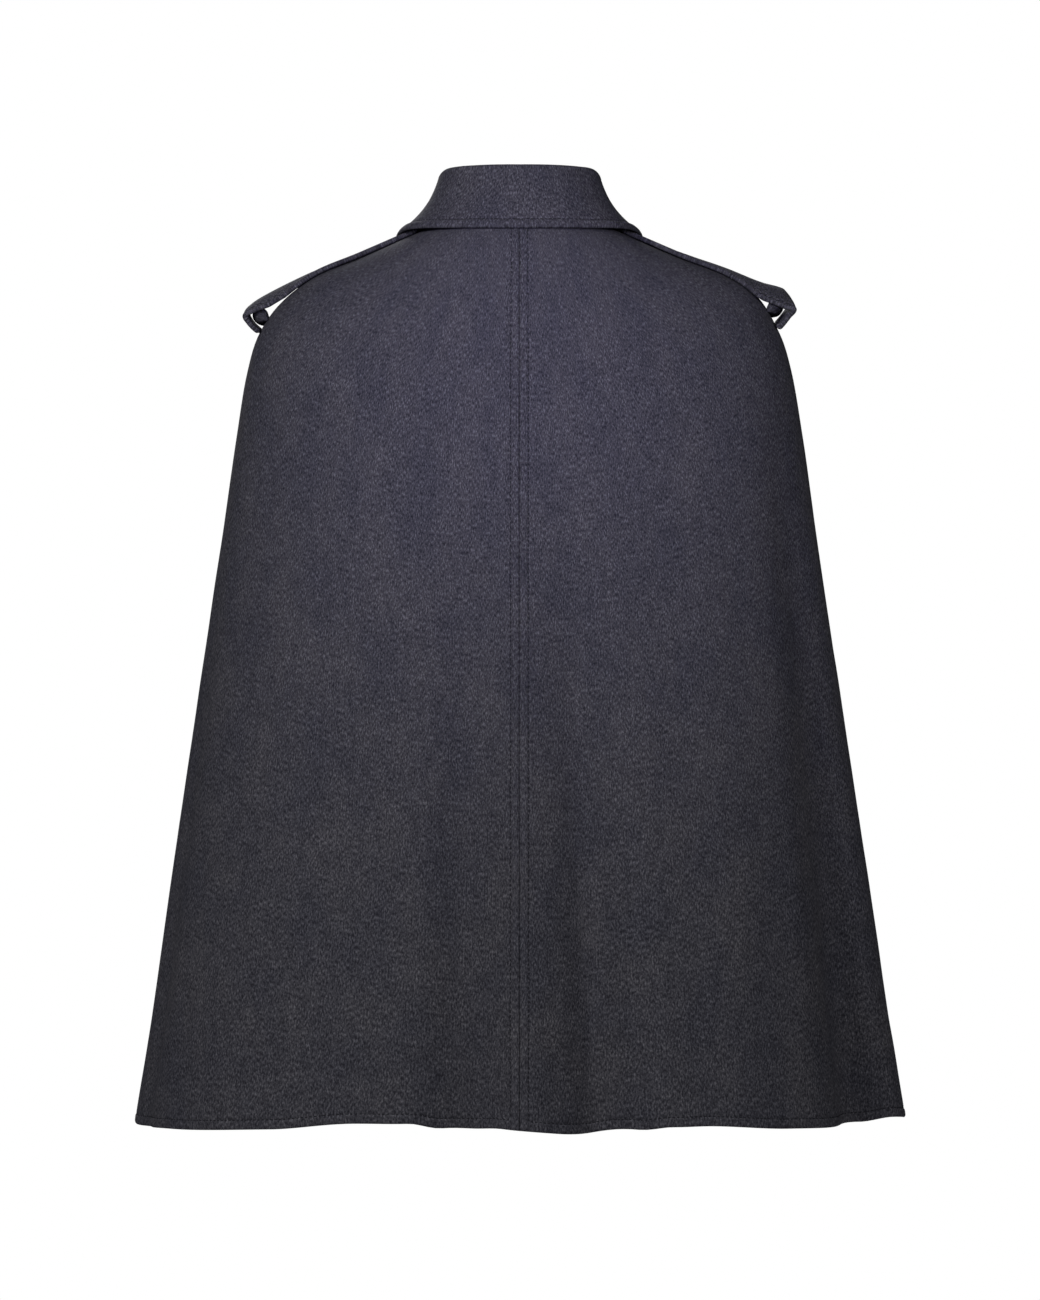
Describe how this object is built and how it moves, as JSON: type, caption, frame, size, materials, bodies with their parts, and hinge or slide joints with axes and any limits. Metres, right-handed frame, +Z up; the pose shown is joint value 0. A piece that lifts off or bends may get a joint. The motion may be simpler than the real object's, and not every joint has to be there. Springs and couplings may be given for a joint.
{
  "type": "cape coat",
  "caption": "Hip-length wool cape coat with a fold-over collar, folded shoulder straps, a buttoned front, arm slits and a flared, softly folded body, in its worn form.",
  "frame": {"origin": "on the midline, level with the points where the shoulders meet the neck, at the middle of the neck: where the wearer's neck and shoulders hold it", "axes": "+Z up, -Y towards the front, +X towards the wearer's left"},
  "size_m": [0.6751, 0.4111, 0.8354],
  "materials": {
    "wool": "matt brushed wool coating, charcoal with a blue cast, finely speckled",
    "button": "satin dark horn colour"
  },
  "bodies": {
    "root": {"back_left": "wool", "back_right": "wool", "front_left": "wool", "front_right": "wool", "collar_stand": "wool", "collar_fall": "wool", "strap_left": "wool", "strap_right": "wool", "strap_bar_left": "wool", "strap_bar_right": "wool", "front_button_1": "button", "front_button_2": "button", "front_button_3": "button", "front_button_4": "button", "front_button_5": "button"}
  },
  "joints": []
}
